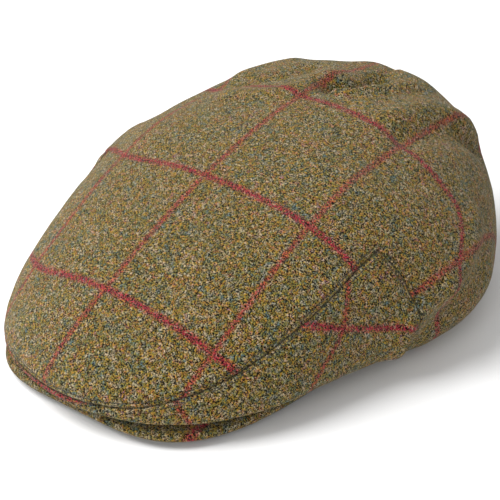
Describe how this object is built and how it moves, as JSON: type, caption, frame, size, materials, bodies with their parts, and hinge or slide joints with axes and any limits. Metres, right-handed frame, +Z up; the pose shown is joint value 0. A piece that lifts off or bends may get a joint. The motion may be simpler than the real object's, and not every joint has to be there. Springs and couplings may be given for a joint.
{
  "type": "flat cap",
  "caption": "Soft flat cap in checked tweed with a domed top, pointed side panels and a short stiff peak, lying on its hem.",
  "frame": {"origin": "centre of the bounding box seen from above, at the level of the surface the hem rests on", "axes": "+Z up, -Y towards the peak, +X towards the wearer's left"},
  "size_m": [0.2356, 0.2816, 0.1011],
  "materials": {
    "tweed": "brushed wool tweed, olive and tan with a red overcheck, rough",
    "peak_tweed": "the same wool tweed drawn tight over a stiff board, rough"
  },
  "bodies": {
    "root": {"top_panel": "tweed", "side_band": "tweed", "peak": "peak_tweed"}
  },
  "joints": []
}
